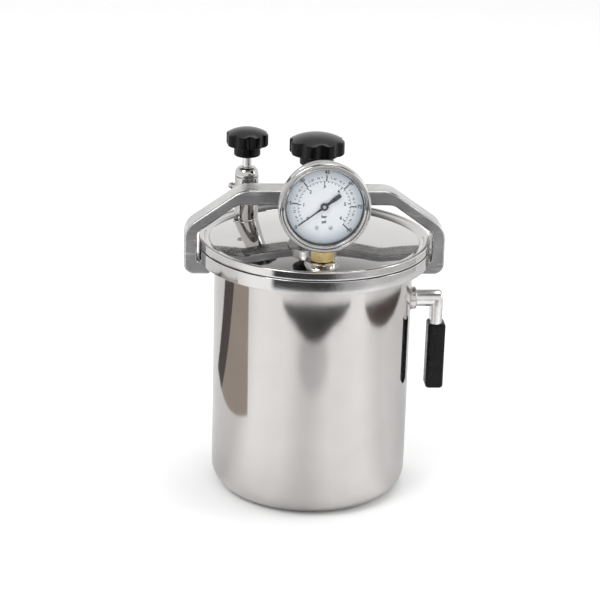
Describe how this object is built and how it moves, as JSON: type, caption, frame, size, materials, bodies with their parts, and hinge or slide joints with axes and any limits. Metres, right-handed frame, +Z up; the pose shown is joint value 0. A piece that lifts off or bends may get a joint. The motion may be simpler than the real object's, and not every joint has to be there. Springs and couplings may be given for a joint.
{
  "type": "resin pressure pot",
  "caption": "Small upright stainless pressure pot with a domed lid held by a screw-down yoke, a dial gauge, a release valve with a star knob and a side handle.",
  "frame": {"origin": "centre of the pot's flat bottom, on the surface it stands on", "axes": "+Z up through the clamp screw; +X along the yoke towards the side handle; -Y towards the gauge's face"},
  "size_m": [0.2142, 0.186, 0.2976],
  "materials": {
    "polished_steel": "polished stainless steel with fine brushing",
    "satin_steel": "satin stainless steel",
    "cast_aluminium": "cast aluminium, ground faces and polished edges",
    "brass": "machined brass, slightly dull",
    "black_plastic": "glossy black moulded plastic",
    "grip_plastic": "black moulded grip, satin",
    "black_rubber": "black rubber",
    "silicone": "pale silicone",
    "clear_glass": "clear flat lens",
    "white_dial": "white enamelled dial",
    "black_paint": "black painted pointer"
  },
  "bodies": {
    "pot": {"pot_shell": "polished_steel", "flange_ring": "polished_steel", "rim_gasket": "silicone", "handle_arm": "satin_steel", "handle_collar": "polished_steel", "handle_grip": "grip_plastic", "grip_screw": "satin_steel"},
    "clamp": {"yoke_bar": "cast_aluminium", "yoke_bush": "satin_steel"},
    "lid": {"lid_shell": "polished_steel", "thrust_cup": "satin_steel", "foot_retainer": "satin_steel", "gauge_boss": "polished_steel", "adapter_seal": "silicone", "gauge_adapter": "brass", "gauge_socket": "brass", "gauge_case": "satin_steel", "gauge_bezel": "polished_steel", "lens_gasket": "black_rubber", "gauge_lens": "clear_glass", "gauge_dial": "white_dial", "dial_screw_left": "satin_steel", "dial_screw_right": "satin_steel", "movement_plate": "brass", "bourdon_tube": "brass", "sector_pin": "satin_steel", "valve_body": "polished_steel", "valve_nozzle": "polished_steel", "valve_bonnet": "polished_steel", "valve_packing": "black_rubber"},
    "screw": {"clamp_screw": "satin_steel", "main_knob": "black_plastic", "main_knob_insert": "brass"},
    "valve_plug": {"valve_seal": "black_rubber", "valve_disc": "brass"},
    "valve_spindle": {"valve_stem": "satin_steel", "valve_knob": "black_plastic", "valve_knob_insert": "brass"},
    "sector": {"sector_gear": "brass"},
    "pointer": {"pointer_arbor": "brass", "gauge_pointer": "black_paint"}
  },
  "joints": [
    {"name": "clamp_slide", "type": "slide", "parent": "pot", "child": "clamp", "axis": [0, 1, 0], "range_m": [0, 0.2]},
    {"name": "lid_lift", "type": "slide", "parent": "clamp", "child": "lid", "axis": [0, 0, 1], "range_m": [0, 0.004]},
    {"name": "clamp_turn", "type": "hinge", "parent": "lid", "child": "screw", "pos_m": [0, 0, 0.25], "axis": [0, 0, 1], "range_deg": [0, 720]},
    {"name": "valve_lift", "type": "slide", "parent": "lid", "child": "valve_plug", "axis": [0, 0, 1], "range_m": [0, 0.002]},
    {"name": "valve_turn", "type": "hinge", "parent": "valve_plug", "child": "valve_spindle", "pos_m": [-0.0534, 0.036, 0.26], "axis": [0, 0, 1], "range_deg": [0, 720]},
    {"name": "sector_turn", "type": "hinge", "parent": "lid", "child": "sector", "pos_m": [0, -0.07, 0.2464], "axis": [0, -1, 0], "range_deg": [0, 47.7]},
    {"name": "pointer_turn", "type": "hinge", "parent": "lid", "child": "pointer", "pos_m": [0, -0.07, 0.262], "axis": [0, 1, 0], "range_deg": [0, 263]}
  ],
  "couplings": [
    {"joint": "clamp_turn", "follows": "lid_lift", "rad_per_m": 3141},
    {"joint": "valve_turn", "follows": "valve_lift", "rad_per_m": 6282},
    {"joint": "pointer_turn", "follows": "sector_turn", "ratio": 5.5}
  ]
}
